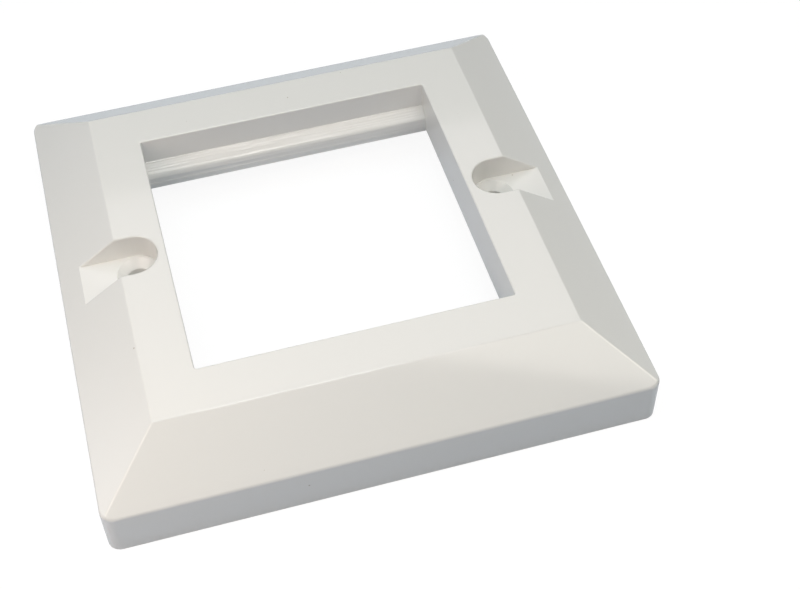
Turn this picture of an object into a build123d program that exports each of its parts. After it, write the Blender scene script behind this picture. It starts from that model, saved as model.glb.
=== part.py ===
from build123d import *

import os
from math import hypot, radians, tan

# Two-port faceplate: one moulding that covers a single wall box and frames two snap-in outlet modules.
# Sizes are in millimetres. The origin is the centre of the plane that meets the wall.
# +Z points out of the wall and +X runs along the line of the two fixing screws.

# Outside form
plate_width = 86.0
plate_height = 86.0
plate_depth = 15.25
rim_height = 8.0
bevel_run = 10.1
skin = 2.0

# Edges and corners of the outside form
corner_radius = 2.0
hip_radius = 0.5
rim_edge_radius = 0.7
face_edge_radius = 0.5

# The two modules and the opening they drop into, side by side
port_count = 2
module_width = 25.0
module_height = 50.0
module_clearance = 0.2
opening_corner_radius = 0.4
opening_edge_radius = 0.25

# Walls that stand behind the opening, measured back from the face
frame_wall = 1.5
side_wall_depth = 8.85
ledge_wall_depth = 9.45

# Ledges on the long walls that the modules snap over
ledge_reach = 2.0
ledge_top_depth = 4.9
ledge_ramp_drop = 1.7
ledge_edge_radius = 1.2

# Fixing screws, the open-ended recesses for their heads, and the pillars behind them
screw_spacing = 60.3
screw_diameter = 3.5
screw_clearance = 0.8
seat_diameter = 6.9
seat_angle = 90.0
recess_width = 7.9
recess_depth = 4.6
recess_land = 1.35
recess_edge_radius = 0.3
recess_wall = 1.4
pillar_wall = 1.9
pillar_setback = 3.5

# Stiffening ribs between the opening walls, the pillars and the rim
rib_thickness = 1.2
rib_offset = 15.0
rib_foot = 2.6

# Sizes that follow from those above
bevel_slope = (plate_depth - rim_height) / bevel_run
opening_width = port_count * module_width + module_clearance
opening_height = module_height + module_clearance
bond = skin / 2
recess_radius = recess_width / 2
recess_centre = opening_width / 2 + recess_land + recess_radius
recess_floor = plate_depth - recess_depth
hole_radius = (screw_diameter + screw_clearance) / 2
seat_depth = (seat_diameter / 2 - hole_radius) / tan(radians(seat_angle / 2))
pillar_radius = hole_radius + pillar_wall

# How near a point has to lie to a level to count as on it
touch = 0.01


def bevelled_section(width, inset):
    """Section across the plate, with the rim, the bevels and the face all moved inwards by the inset."""
    side = width / 2 - inset
    top = plate_depth - inset
    shoulder = rim_height + inset * (bevel_slope - hypot(1, bevel_slope))
    face = side - (top - shoulder) / bevel_slope
    outline = Polyline(
        (-side, 0), (side, 0), (side, shoulder), (face, top), (-face, top), (-side, shoulder), close=True
    )
    return make_face(outline)


def bevelled_form(inset):
    """The bevelled block inside the outside form, mitred at its four hips."""
    across = extrude(Plane.XZ * bevelled_section(plate_width, inset), plate_height, both=True)
    along = extrude(Plane.YZ * bevelled_section(plate_height, inset), plate_width, both=True)
    block = across & along
    upright_edges = block.edges().filter_by(Axis.Z)
    block = fillet(upright_edges, max(corner_radius - inset, hip_radius))
    top = plate_depth - inset
    hips = block.edges().filter_by(lambda edge: edge.vertices().sort_by(Axis.Z)[-1].Z > top - hip_radius)
    hips = hips.filter_by(lambda edge: edge.vertices().sort_by(Axis.Z)[0].Z < top - hip_radius)
    return fillet(hips, hip_radius)


def outside_form():
    """The visible block, with its rim edge and its face edge rounded."""
    block = bevelled_form(0)
    corner_rise = corner_radius * bevel_slope
    rim_edges = block.edges().filter_by_position(Axis.Z, rim_height, rim_height + corner_rise)
    block = fillet(rim_edges, rim_edge_radius)
    face_edges = block.faces().sort_by(Axis.Z)[-1].edges()
    return fillet(face_edges, face_edge_radius)


def opening_walls():
    """Walls round the opening: the two with the ledges reach further back than the two plain ones."""
    buried = plate_depth - bond
    side_back = plate_depth - side_wall_depth
    ledge_back = plate_depth - ledge_wall_depth
    side_block = Box(
        opening_width + 2 * frame_wall,
        opening_height + 2 * frame_wall,
        buried - side_back,
        align=(Align.CENTER, Align.CENTER, Align.MIN),
    )
    ledge_block = Box(
        opening_width + 2 * frame_wall,
        frame_wall,
        buried - ledge_back,
        align=(Align.CENTER, Align.MIN, Align.MIN),
    )
    walls = Pos(0, 0, side_back) * side_block
    for turn in (0, 180):
        walls += Rot(0, 0, turn) * Pos(0, opening_height / 2, ledge_back) * ledge_block
    return walls


def recess_plan(radius):
    """Plan of one recess: a round end towards the opening and straight sides that run out past the rim."""
    run_out = plate_width / 2
    straight = Rectangle(run_out, 2 * radius, align=(Align.MIN, Align.CENTER))
    return Pos(recess_centre, 0) * (Circle(radius) + straight)


def recess_tub():
    """Material under and round one recess, trimmed to the inside of the skin."""
    floor_back = recess_floor - skin
    tub = extrude(Pos(0, 0, floor_back) * recess_plan(recess_radius + recess_wall), plate_depth)
    return tub & bevelled_form(bond)


def pillar():
    """Tube behind one recess floor that carries the screw's pull back towards the wall box."""
    height = recess_floor - bond - pillar_setback
    tube = Cylinder(pillar_radius, height, align=(Align.CENTER, Align.CENTER, Align.MIN))
    return Pos(screw_spacing / 2, 0, pillar_setback) * tube


def rib(start, back):
    """Rib along +X from the start to the rim, its free edge sloping from the back level to the rib foot."""
    rim_inside = plate_width / 2 - bond
    outline = Polyline(
        (start, back), (rim_inside, rib_foot), (rim_inside, plate_depth), (start, plate_depth), close=True
    )
    return extrude(Plane.XZ * make_face(outline), rib_thickness / 2, both=True)


def ribs():
    """Two ribs behind each ledge wall and one behind each pillar."""
    ledge_back = plate_depth - ledge_wall_depth
    ledge_rib = rib(opening_height / 2 + frame_wall / 2, ledge_back)
    pillar_rib = rib(screw_spacing / 2 + pillar_radius / 2, recess_floor - skin - rib_thickness)
    placed = []
    for turn in (0, 180):
        placed.append(Rot(0, 0, turn) * pillar_rib)
        for offset in (-rib_offset, rib_offset):
            placed.append(Rot(0, 0, turn + 90) * Pos(0, offset, 0) * ledge_rib)
    return [piece & bevelled_form(bond) for piece in placed]


def screw_way():
    """What is cut for one screw: the recess for its head, the countersunk seat and the clearance hole."""
    recess = extrude(Pos(0, 0, recess_floor) * recess_plan(recess_radius), plate_depth)
    seat = Cone(hole_radius, seat_diameter / 2, seat_depth, align=(Align.CENTER, Align.CENTER, Align.MAX))
    hole = Cylinder(hole_radius, plate_depth, align=(Align.CENTER, Align.CENTER, Align.MAX))
    return recess + Pos(screw_spacing / 2, 0, recess_floor) * (seat + hole)


def ledge():
    """Ledge on the +Y wall: a ramp that leads a module in, and an upright nose that its catch snaps under."""
    wall = opening_height / 2
    nose = wall - ledge_reach
    buried = wall + frame_wall / 2
    ramp_top = plate_depth - ledge_top_depth
    ramp_foot = ramp_top - ledge_ramp_drop
    back = plate_depth - ledge_wall_depth
    outline = Polyline(
        (buried, back), (buried, ramp_top), (wall, ramp_top), (nose, ramp_foot), (nose, back), close=True
    )
    bar = extrude(Plane.YZ * make_face(outline), opening_width / 2 + frame_wall / 2, both=True)
    nose_edge = bar.edges().filter_by(Axis.X).sort_by(Axis.Y)[:2].sort_by(Axis.Z)[-1]
    return fillet(nose_edge, ledge_edge_radius)


def opening_lip(body):
    """Edges where the opening breaks through the face."""
    half_width = opening_width / 2 + touch
    half_height = opening_height / 2 + touch
    lip = body.edges().filter_by_position(Axis.Z, plate_depth - touch, plate_depth + touch)
    lip = lip.filter_by_position(Axis.X, -half_width, half_width)
    return lip.filter_by_position(Axis.Y, -half_height, half_height)


def on_recess_lip(edge):
    """Whether an edge is one where a recess wall breaks through the face or a bevel."""
    box = edge.bounding_box()
    reach = abs(edge.center().X)
    beside_opening = reach > (opening_width + recess_land) / 2
    inside_rim = reach < plate_width / 2 - rim_edge_radius
    across = max(abs(box.min.Y), abs(box.max.Y)) < recess_radius + touch
    upright = box.size.X + box.size.Y < touch
    above_floor = box.min.Z > recess_floor - touch and box.max.Z > recess_floor + touch
    return beside_opening and inside_rim and across and above_floor and not upright


def recess_lips(body):
    """The lips of both recesses, along the face and down the bevels."""
    return body.edges().filter_by(on_recess_lip)


def faceplate():
    """The whole moulding."""
    visible_block = outside_form()
    hollow = bevelled_form(skin)
    body = visible_block - hollow
    body += opening_walls()
    body += pillar() + Rot(0, 0, 180) * pillar()
    body += recess_tub() + Rot(0, 0, 180) * recess_tub()
    for piece in ribs():
        body += piece
    opening = RectangleRounded(opening_width, opening_height, opening_corner_radius)
    body -= extrude(opening, plate_depth, both=True)
    for turn in (0, 180):
        body -= Rot(0, 0, turn) * screw_way()
    body = fillet(opening_lip(body), opening_edge_radius)
    body = fillet(recess_lips(body), recess_edge_radius)
    for turn in (0, 180):
        body += Rot(0, 0, turn) * ledge()
    return body


os.makedirs("parts", exist_ok=True)
plate = faceplate()
print("solids", len(plate.solids()), "volume", round(plate.volume, 1), "valid", plate.is_valid)
export_step(plate, "parts/faceplate.step")
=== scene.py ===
# %% [markdown]
# # A white moulded faceplate under soft light
# The object is one injection moulding: a square plate with four bevelled sides, a square window for two
# snap-in outlet modules, and two open-ended recesses for its fixing screws. Its form is already finished as
# a CAD solid, so this lesson never moves or reshapes it. What is left to do is what a product photographer
# and a mould maker would think about: the finish of the plastic, and light that shows it.

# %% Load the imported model
import math

import bpy
from mathutils import Matrix, Vector


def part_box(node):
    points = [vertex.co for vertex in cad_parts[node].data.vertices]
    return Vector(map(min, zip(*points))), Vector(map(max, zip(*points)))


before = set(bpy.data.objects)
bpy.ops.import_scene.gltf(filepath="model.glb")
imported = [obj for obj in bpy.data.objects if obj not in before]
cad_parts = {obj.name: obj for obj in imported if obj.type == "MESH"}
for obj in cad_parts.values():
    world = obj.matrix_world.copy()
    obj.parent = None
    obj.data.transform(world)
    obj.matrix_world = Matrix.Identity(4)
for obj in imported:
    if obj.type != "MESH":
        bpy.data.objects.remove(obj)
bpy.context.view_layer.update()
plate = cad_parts["faceplate"]
print("the plate has", len(plate.data.polygons), "triangles")

# %% [markdown]
# ## Sizes that the finish needs
# A finish that changes from the face to the back has to know where the face ends. These places could be
# painted on the mesh by hand, but then they would be lost when the plate changes. So the outer sizes are
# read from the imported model's own box. The height of the rim, the run of the bevels and the window repeat
# the real moulding's, since a box can't tell them.

# %% Measure the plate
plate_low, plate_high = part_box("faceplate")
half_side = plate_high.x
face_height = plate_high.z
rim_height = 0.008
bevel_run = 0.0101
bevel_slope = (face_height - rim_height) / bevel_run
window_half = 0.0251
print("side", round(2000 * half_side, 2), "mm, height", round(1000 * face_height, 2), "mm")

# %% [markdown]
# ## The camera
# The photograph looks down on the plate from the front left, from 24 cm away. A camera could be slid about
# until the picture fits. Here it was solved instead, because the plate's straight edges all run to
# vanishing points, and those give the place, the aim, the lens and a slight roll. The small shift stands
# for the photograph's crop, which moves the middle of the lens away from the middle of the picture.


# %% Set up the camera
def looking(place, aim, turn):
    """The rotation that looks from a place to an aim and is then turned about that line, in degrees."""
    sight = (Vector(aim) - Vector(place)).to_track_quat("-Z", "Y").to_matrix()
    return (sight @ Matrix.Rotation(math.radians(turn), 3, "Z")).to_euler()


camera_place = (-0.0283, -0.15513, 0.18323)
camera_aim = (0.00704, -0.00388, 0.0)
camera_roll = -2.70
camera_lens = 63.8
camera_shift = (0.0389, -0.0145)
nearest_seen = 0.01

camera_data = bpy.data.cameras.new("photo_camera")
camera_data.lens = camera_lens
camera_data.shift_x, camera_data.shift_y = camera_shift
camera_data.clip_start = nearest_seen
camera = bpy.data.objects.new("photo_camera", camera_data)
camera.location = camera_place
camera.rotation_euler = looking(camera_place, camera_aim, camera_roll)
bpy.context.scene.collection.objects.link(camera)
bpy.context.scene.camera = camera
print("the camera stands", round(math.dist(camera_place, camera_aim), 4), "m from its aim")

# %% [markdown]
# ## Small helpers for node trees
# A material is a graph of nodes. It could be drawn in the shader editor, but written down it can be read,
# and it comes out the same each time. Four helpers keep the graphs short: one fills an input, one adds a
# node with its settings and its inputs, and two do a step of arithmetic, on numbers or on vectors.


# %% Node helpers
def feed(tree, socket, value):
    """Links a socket to an input, or sets the input to a plain value."""
    if isinstance(value, bpy.types.NodeSocket):
        tree.links.new(value, socket)
    else:
        socket.default_value = value


def add_node(tree, kind, settings=None, *values, **inputs):
    """A new node with its settings, its first inputs in order, and others by name, with _ for a space."""
    node = tree.nodes.new(kind)
    for name, value in (settings or {}).items():
        setattr(node, name, value)
    for socket, value in zip(node.inputs, values):
        feed(tree, socket, value)
    for name, value in inputs.items():
        feed(tree, node.inputs[name.replace("_", " ")], value)
    return node


def step(tree, operation, *values, clamp=False):
    """One step of arithmetic on numbers."""
    settings = {"operation": operation, "use_clamp": clamp}
    return add_node(tree, "ShaderNodeMath", settings, *values).outputs[0]


def vector_step(tree, operation, *values, out="Vector"):
    """One step of arithmetic on vectors, which puts out a Vector or a Value."""
    return add_node(tree, "ShaderNodeVectorMath", {"operation": operation}, *values).outputs[out]


print("helpers ready: feed, add_node, step, vector_step")

# %% [markdown]
# ## Helpers for groups
# An effect such as grain or flecks is worth building once, as a group with named inputs, and placing with
# other values wherever it is needed. Each group here reads a place on the plate and puts out heights or
# masks.


# %% Group helpers
def new_group(name, inputs, outputs):
    """An empty group with its two end nodes. An input is a vector, or a number where a default is given."""
    group = bpy.data.node_groups.new(name, "ShaderNodeTree")
    for label, default in inputs.items():
        kind = "NodeSocketVector" if default is None else "NodeSocketFloat"
        socket = group.interface.new_socket(label, in_out="INPUT", socket_type=kind)
        if default is not None:
            socket.default_value = default
    for label in outputs:
        group.interface.new_socket(label, in_out="OUTPUT", socket_type="NodeSocketFloat")
    return group, group.nodes.new("NodeGroupInput"), group.nodes.new("NodeGroupOutput")


def place_group(tree, group, **inputs):
    """A copy of a group in a material, with its inputs set or linked."""
    return add_node(tree, "ShaderNodeGroup", {"node_tree": group}, **inputs)


print("helpers ready: new_group, place_group")

# %% [markdown]
# ## Where the mould was polished
# A moulder polishes only the half of the mould that makes the show faces. The other half, with the hollow,
# the ribs and the pillars, keeps a duller machined skin, and so do the two ledges, which are made by the
# core that fills the window. The faces could be sorted into material slots, but one solid stands for one
# moulding, so masks tell them apart from where a point lies. Whatever lies inside the window's outline is a
# ledge. Whatever lies deep under the outer form is the hidden side, apart from the window and the screw
# recesses, which belong to the show side.


# %% Group that tells the surfaces apart
def depth_under_skin(group, reach, z):
    """How far a point lies under the outer form: its sides, bevels or face, whichever is nearest."""
    from_side = step(group, "SUBTRACT", half_side, reach)
    bevel_height = step(group, "MULTIPLY_ADD", from_side, bevel_slope, rim_height)
    over_bevel = step(group, "SUBTRACT", bevel_height, z)
    from_bevel = step(group, "DIVIDE", over_bevel, math.hypot(1, bevel_slope))
    from_face = step(group, "SUBTRACT", face_height, z)
    depth = step(group, "MINIMUM", from_side, from_bevel)
    return step(group, "MINIMUM", depth, from_face)


def surfaces_group():
    group, start, end = new_group("surfaces", {"Place": None}, ["Hidden", "Ledge"])
    size = vector_step(group, "ABSOLUTE", start.outputs["Place"])
    x, y, z = add_node(group, "ShaderNodeSeparateXYZ", Vector=size).outputs
    reach = step(group, "MAXIMUM", x, y)
    deep = step(group, "GREATER_THAN", depth_under_skin(group, reach, z), show_skin)
    outside_window = step(group, "GREATER_THAN", reach, window_half + margin)
    beside_screw = step(group, "LESS_THAN", y, recess_half + margin)
    over_seat = step(group, "GREATER_THAN", z, seat_back - margin)
    in_recess = step(group, "MULTIPLY", beside_screw, over_seat)
    hidden = step(group, "MULTIPLY", deep, outside_window)
    hidden = step(group, "MULTIPLY", hidden, step(group, "SUBTRACT", 1.0, in_recess))
    ledge = step(group, "LESS_THAN", reach, window_half - margin)
    feed(group, end.inputs["Hidden"], hidden)
    feed(group, end.inputs["Ledge"], ledge)
    return group


show_skin = 0.001
margin = 0.00005
recess_half = 0.00395
seat_back = 0.00935
surfaces = surfaces_group()
print(surfaces.name, "tells apart the polished skin, the ledges and the hidden side")

# %% [markdown]
# ## Waves of the skin
# Even a polished moulding isn't a perfect mirror. The plastic shrinks a little as it cools, and its skin
# waves as an orange's does. Such waves are a few thousandths of a millimetre high, far too low to model, so
# a smooth noise gives their height to a bump. The same group at a finer wavelength also makes the grain
# that a machined mould leaves.


# %% Group for the orange peel
def orange_peel_group():
    group, start, end = new_group("orange_peel", {"Place": None, "Wavelength": peel_wavelength}, ["Height"])
    place, wavelength = start.outputs["Place"], start.outputs["Wavelength"]
    scale = step(group, "DIVIDE", 1.0, wavelength)
    waves = add_node(group, "ShaderNodeTexNoise", Vector=place, Scale=scale, Detail=peel_detail)
    feed(group, end.inputs["Height"], waves.outputs["Fac"])
    return group


peel_wavelength = 0.0022
peel_detail = 1.0
orange_peel = orange_peel_group()
print(orange_peel.name, "gives waves", 1000 * peel_wavelength, "mm long")

# %% [markdown]
# ## Lines along the ledges
# The core slides out of the window when the mould opens, and its tool marks draw fine lines along the
# ledges. A wave texture would space them evenly, like a comb. A noise that is squeezed across the ledge and
# stretched along it gives uneven lines, as the real ones are.


# %% Group for the drawn lines
def drawn_lines_group():
    group, start, end = new_group("drawn_lines", {"Place": None, "Lines per metre": None}, ["Height"])
    drawn = vector_step(group, "MULTIPLY", start.outputs["Place"], start.outputs["Lines per metre"])
    lines = add_node(group, "ShaderNodeTexNoise", Vector=drawn, Scale=1.0, Detail=line_detail)
    feed(group, end.inputs["Height"], lines.outputs["Fac"])
    return group


line_detail = 2.0
drawn_lines = drawn_lines_group()
print(drawn_lines.name, "gives the lines of the core")

# %% [markdown]
# ## Flecks
# Now and then a grain of plastic scorches in the machine and comes out as a pale brown speck. Cells
# scattered at random, with a dot about the middle of each, give such specks. A dot lies inside the plastic
# as well, so the surface meets only some of them, and that leaves them few and uneven.


# %% Group for the flecks
def flecks_group():
    inputs = {"Place": None, "Spacing": fleck_spacing, "Radius": fleck_radius}
    group, start, end = new_group("flecks", inputs, ["Mask"])
    place, spacing, radius = start.outputs["Place"], start.outputs["Spacing"], start.outputs["Radius"]
    scale = step(group, "DIVIDE", 1.0, spacing)
    cells = add_node(group, "ShaderNodeTexVoronoi", Vector=place, Scale=scale, Randomness=1.0)
    reach = step(group, "MULTIPLY", cells.outputs["Distance"], spacing)
    feed(group, end.inputs["Mask"], step(group, "LESS_THAN", reach, radius))
    return group


fleck_spacing = 0.006
fleck_radius = 0.00013
flecks = flecks_group()
print(flecks.name, "gives specks up to", round(2000 * fleck_radius, 2), "mm wide")

# %% [markdown]
# ## Marks of the ejector pins
# Pins push the moulding out of the mould, and each leaves a round mark on the hidden side, sunk by less
# than a tenth of a millimetre. They could be cut into the solid, but they are too shallow to show in its
# outline, so they are a bump as well. The plate is the same on both sides of its two middle lines, so two
# pins, measured from the point's distance to each line, stand for all six.


# %% Group for the pin marks
def pin_marks_group():
    inputs = {"Place": None, "Radius": pin_radius, "Edge": pin_edge}
    group, start, end = new_group("pin_marks", inputs, ["Height"])
    size = vector_step(group, "ABSOLUTE", start.outputs["Place"])
    flat = vector_step(group, "MULTIPLY", size, (1, 1, 0))
    corner = vector_step(group, "DISTANCE", flat, (pin_reach, pin_reach, 0), out="Value")
    middle = vector_step(group, "DISTANCE", flat, (0, pin_reach, 0), out="Value")
    nearest = step(group, "MINIMUM", corner, middle)
    past_edge = step(group, "SUBTRACT", nearest, start.outputs["Radius"])
    mark = step(group, "DIVIDE", past_edge, start.outputs["Edge"], clamp=True)
    feed(group, end.inputs["Height"], mark)
    return group


pin_reach = 0.0292
pin_radius = 0.0015
pin_edge = 0.0002
pin_marks = pin_marks_group()
print(pin_marks.name, "gives the marks of six pins")

# %% [markdown]
# ## The colour of the plastic
# The plate is moulded in a slightly warm white. One flat colour would look like card, and strong patches
# would look dirty, so two whites that are almost the same drift into each other. The flecks are the only
# darker colour.


# %% Colour of the moulding
def blend(tree, share, first, second, kind="FLOAT"):
    """A number, or a colour with the kind RGBA, between two others."""
    node = add_node(tree, "ShaderNodeMix", {"data_type": kind}, share)
    first_input, output = mix_sockets[kind]
    feed(tree, node.inputs[first_input], first)
    feed(tree, node.inputs[first_input + 1], second)
    return node.outputs[output]


def moulding_colour(tree, place):
    cloud = add_node(tree, "ShaderNodeTexNoise", Vector=place, Scale=cloud_scale, Detail=cloud_detail)
    fleck = place_group(tree, flecks, Place=place, Spacing=fleck_spacing, Radius=fleck_radius)
    white = blend(tree, cloud.outputs["Fac"], white_plain, white_warm, "RGBA")
    return blend(tree, fleck.outputs["Mask"], white, burnt, "RGBA")


# A Mix node has inputs and outputs for every kind, so this gives the first of two inputs, and the output
mix_sockets = {"FLOAT": (2, 0), "RGBA": (6, 2)}
white_plain = (0.83, 0.826, 0.806, 1.0)
white_warm = (0.835, 0.829, 0.802, 1.0)
burnt = (0.52, 0.48, 0.41, 1.0)
cloud_scale = 45.0
cloud_detail = 3.0
print("the white drifts over about", round(1000 / cloud_scale), "mm")

# %% [markdown]
# ## The gloss of the plastic
# Since the colour hardly changes, the gloss tells the surfaces apart: smooth in front, softer on the
# ledges, and dull where the mould was only machined. Faint smudges vary the front a little, as handling
# does. A second shader for each surface could do this too, but one roughness behind two masks is simpler,
# and it exports well.


# %% Roughness of the moulding
def moulding_roughness(tree, place, hidden, ledge):
    smudge = add_node(tree, "ShaderNodeTexNoise", Vector=place, Scale=smudge_scale, Detail=smudge_detail)
    gloss = add_node(
        tree,
        "ShaderNodeMapRange",
        Value=smudge.outputs["Fac"],
        From_Min=smudge_low,
        From_Max=smudge_high,
        To_Min=gloss_low,
        To_Max=gloss_high,
    )
    rough = blend(tree, ledge, gloss.outputs[0], ledge_roughness)
    return blend(tree, hidden, rough, machined_roughness)


smudge_scale = 120.0
smudge_detail = 4.0
smudge_low, smudge_high = 0.3, 0.7
gloss_low, gloss_high = 0.05, 0.09
ledge_roughness = 0.16
machined_roughness = 0.5
print("roughness from", gloss_low, "in front to", machined_roughness, "behind")

# %% [markdown]
# ## Small heights
# The waves, the lines, the grain and the pin marks are all heights in metres on the real object. They are
# added up first and go through one bump, because bumps in a chain cost more and are harder to balance. A
# mask keeps the lines on the ledges, and another keeps the grain and the pin marks on the hidden side.


# %% Bump of the moulding
def moulding_bump(tree, place, hidden, ledge):
    peel = place_group(tree, orange_peel, Place=place, Wavelength=peel_wavelength)
    lines = place_group(tree, drawn_lines, Place=place, Lines_per_metre=line_counts)
    grain = place_group(tree, orange_peel, Place=place, Wavelength=grain_wavelength)
    marks = place_group(tree, pin_marks, Place=place, Radius=pin_radius, Edge=pin_edge)
    height = step(tree, "MULTIPLY", peel.outputs["Height"], peel_height)
    masked = ((lines, ledge, line_height), (grain, hidden, grain_height), (marks, hidden, mark_height))
    for layer, mask, most in masked:
        shown = step(tree, "MULTIPLY", layer.outputs["Height"], mask)
        height = step(tree, "MULTIPLY_ADD", shown, most, height)
    return add_node(tree, "ShaderNodeBump", Strength=1.0, Distance=1.0, Height=height).outputs["Normal"]


peel_height = 0.000003
line_counts = (18.0, 1500.0, 1500.0)
line_height = 0.0002
grain_wavelength = 0.00035
grain_height = 0.00001
mark_height = 0.00008
print("pin marks are", 1000 * mark_height, "mm deep")

# %% [markdown]
# ## The white plastic
# The three properties now meet in one shader. A glossy thermoplastic needs no coat, sheen or translucency
# at this size: a plain dielectric with the refraction of plastic is enough. The plate's slots take it in
# place of the plain CAD colour.


# %% Make the white moulding's material
def white_moulding_material():
    material = bpy.data.materials.new("white_moulding")
    material.use_nodes = True
    tree = material.node_tree
    skin = tree.nodes["Principled BSDF"]
    place = add_node(tree, "ShaderNodeTexCoord").outputs["Object"]
    parts = place_group(tree, surfaces, Place=place)
    hidden, ledge = parts.outputs["Hidden"], parts.outputs["Ledge"]
    feed(tree, skin.inputs["Base Color"], moulding_colour(tree, place))
    feed(tree, skin.inputs["Roughness"], moulding_roughness(tree, place, hidden, ledge))
    feed(tree, skin.inputs["Normal"], moulding_bump(tree, place, hidden, ledge))
    skin.inputs["IOR"].default_value = plastic_ior
    return material


plastic_ior = 1.5
white_moulding = white_moulding_material()
for slot in plate.material_slots:
    slot.material = white_moulding
print("material", white_moulding.name, "has", len(white_moulding.node_tree.nodes), "nodes")

# %% [markdown]
# ## White for the camera
# The photograph's background is pure white. More light would reach it, but would wash out the plate as
# well, so what a ray sees depends on its kind. Rays from the camera and through glass see plain white.
# Mirror rays see a share of it, because in the photograph the room that the plate mirrors is dimmer than
# the panels that light it.


# %% Share of the white that a ray sees
def white_seen(tree):
    path = add_node(tree, "ShaderNodeLightPath")
    mirrored = step(tree, "MULTIPLY", path.outputs["Is Glossy Ray"], mirror_share)
    direct = step(tree, "MAXIMUM", path.outputs["Is Camera Ray"], path.outputs["Is Transmission Ray"])
    return step(tree, "MAXIMUM", direct, mirrored)


pure_white = (1.0, 1.0, 1.0, 1.0)
mirror_share = 0.42
print("mirror rays see", mirror_share, "of the white")

# %% [markdown]
# ## The floor
# The plate lies on its back on a white table. A bent backdrop would hide the far edge of a small table, but
# a wide flat one has no edge in view. What the camera sees of it is mostly a glow of its own, with a small
# share of real shading, so that the plate keeps its shadow. The light that the table bounces onto the plate
# comes from a plain surface, a little blue, because the plate's upright sides look so in the photograph.


# %% Lay the floor
def floor_material():
    material = bpy.data.materials.new("white_table")
    material.use_nodes = True
    tree = material.node_tree
    tree.nodes.clear()
    glow = add_node(tree, "ShaderNodeEmission", Color=pure_white, Strength=floor_glow)
    shade = add_node(tree, "ShaderNodeBsdfDiffuse", Color=floor_shade)
    white = add_node(tree, "ShaderNodeAddShader", None, glow.outputs[0], shade.outputs[0])
    pale = add_node(tree, "ShaderNodeBsdfDiffuse", Color=floor_colour)
    seen = add_node(tree, "ShaderNodeMixShader", None, white_seen(tree), pale.outputs[0], white.outputs[0])
    add_node(tree, "ShaderNodeOutputMaterial", Surface=seen.outputs[0])
    return material


floor_size = 4.0
floor_glow = 0.92
floor_shade = (0.12, 0.12, 0.12, 1.0)
floor_colour = (0.46, 0.54, 0.65, 1.0)
bpy.ops.object.select_all(action="DESELECT")
bpy.ops.mesh.primitive_plane_add(size=floor_size, location=(0, 0, plate_low.z))
floor = bpy.context.object
floor.name = "white_table"
floor.data.materials.append(floor_material())
print("floor at height", floor.location.z)

# %% [markdown]
# ## The light
# A glossy white thing takes its shape from what it mirrors and from how the light falls off. Where a tone
# in the photograph changes slowly, a near lamp falls off. Where it has an edge, something with an edge is
# mirrored. A picture of a room wrapped round the scene would have edges but no fall-off, and a soft panel
# has both. So each panel below stands where one surface of the plate needs it. They were placed by
# following the camera's rays as each surface mirrors them, and their strengths were then found by matching
# the tones of all surfaces together. A slight tint goes from warm at the near left to cool overhead, as it
# does in the photograph.


# %% A helper that hangs a soft panel
def soft_lamp(name, place, size, brightness, colour, aim=None, turn=0.0):
    """A soft panel, level or aimed, and turned about its own middle. Plain white has a brightness of 1."""
    data = bpy.data.lights.new(name, "AREA")
    data.shape = "RECTANGLE"
    data.size, data.size_y = size
    data.energy = brightness * math.pi * size[0] * size[1]
    data.color = colour
    lamp = bpy.data.objects.new(name, data)
    lamp.location = place
    lamp.rotation_euler = looking(place, aim, turn) if aim else (0.0, 0.0, math.radians(turn))
    lamp.visible_camera = False
    bpy.context.scene.collection.objects.link(lamp)
    print(name, "gives", round(data.energy, 3), "W")


print("helper ready: soft_lamp")

# %% [markdown]
# ## Four panels for the broad tones
# The first panel is warm and close, so that the near left corner is the brightest. Three level ones hang 30
# cm up. The one overhead is a little cool and lights everything. The back one is what the face mirrors, and
# the right one is what the near bevel mirrors, where its edge draws the bright corner there.

# %% Hang the broad panels
panel_height = 0.30
soft_lamp(
    "near_left_panel",
    place=(-0.115, -0.074, 0.105),
    size=(0.12, 0.12),
    brightness=2.4,
    colour=(1.0, 0.86, 0.76),
    aim=(-0.02, -0.02, 0.01),
)
soft_lamp(
    "overhead_panel",
    place=(-0.06, 0.04, panel_height),
    size=(0.22, 0.18),
    brightness=2.4,
    colour=(0.80, 0.95, 1.0),
)
soft_lamp(
    "back_panel",
    place=(0.05, 0.20, panel_height),
    size=(0.25, 0.20),
    brightness=1.3,
    colour=(1.0, 0.94, 0.95),
)
soft_lamp(
    "right_panel",
    place=(0.197, -0.180, panel_height),
    size=(0.21, 0.20),
    brightness=3.05,
    colour=(1.0, 0.96, 0.88),
    turn=-23.4,
)

# %% [markdown]
# ## Two narrow lamps for the edges
# The ramp of the far ledge and the rounded edge at the near right corner mirror only a narrow part of the
# room. A narrow bright panel shines along the ledge. A slim strip, turned to lie along the path that the
# rounded edge mirrors, draws a light line down it. Neither adds much to the other tones.

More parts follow.
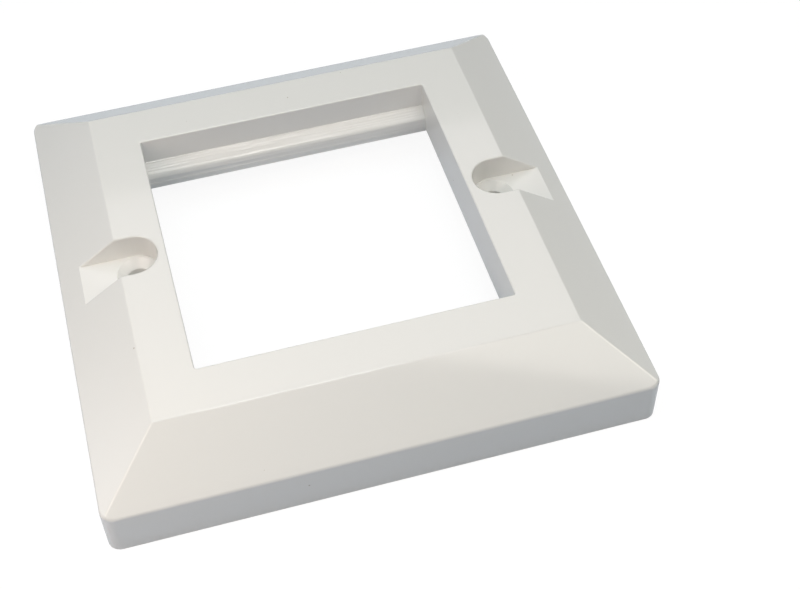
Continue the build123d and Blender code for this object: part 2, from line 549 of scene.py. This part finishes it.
# %% Hang the edge lamps
soft_lamp(
    "ledge_panel",
    place=(0.032, -0.16, panel_height),
    size=(0.11, 0.05),
    brightness=9.5,
    colour=(1.0, 0.96, 0.94),
)
soft_lamp(
    "edge_strip",
    place=(0.438, -0.017, 0.311),
    size=(0.46, 0.055),
    brightness=4.8,
    colour=(1.0, 0.93, 0.80),
    aim=(0.038, -0.038, 0.012),
    turn=-42.6,
)

# %% [markdown]
# ## The world
# The room is almost dark, with one soft glow low at the far left, which the left bevel mirrors at its near
# end. A lamp could make this glow too, but its border would show in the bevel, and a smooth step over the
# sky has none. The camera sees plain white in place of the room, and mirror rays see the same share of
# white as they do of the floor.


# %% Light the world
def world_light():
    world = bpy.data.worlds.new("studio")
    bpy.context.scene.world = world
    world.use_nodes = True
    tree = world.node_tree
    tree.nodes.clear()
    direction = add_node(tree, "ShaderNodeTexCoord").outputs["Generated"]
    toward = vector_step(tree, "DOT_PRODUCT", direction, glow_direction.normalized(), out="Value")
    smooth = {"interpolation_type": "SMOOTHSTEP"}
    glow_edge = math.cos(glow_reach)
    glow = add_node(tree, "ShaderNodeMapRange", smooth, Value=toward, From_Min=glow_edge, From_Max=1.0)
    strength = step(tree, "MULTIPLY_ADD", glow.outputs[0], glow_strength, fill_strength)
    fill = add_node(tree, "ShaderNodeBackground", Color=fill_colour, Strength=strength)
    white = add_node(tree, "ShaderNodeBackground", Color=pure_white, Strength=1.0)
    seen = add_node(tree, "ShaderNodeMixShader", None, white_seen(tree), fill.outputs[0], white.outputs[0])
    add_node(tree, "ShaderNodeOutputWorld", Surface=seen.outputs[0])


fill_colour = (0.95, 0.97, 1.0, 1.0)
fill_strength = 0.02
glow_direction = Vector((-0.89, 0.42, 0.18))
glow_reach = math.radians(16)
glow_strength = 2.7
world_light()
print("world glow from", [round(v, 2) for v in glow_direction], "at strength", glow_strength)

# %% [markdown]
# ## Colours as they are written
# The plain Standard view shows a colour as it is. A film look would be softer, but it would grey the white.

# %% Set the view
bpy.context.scene.view_settings.view_transform = "Standard"
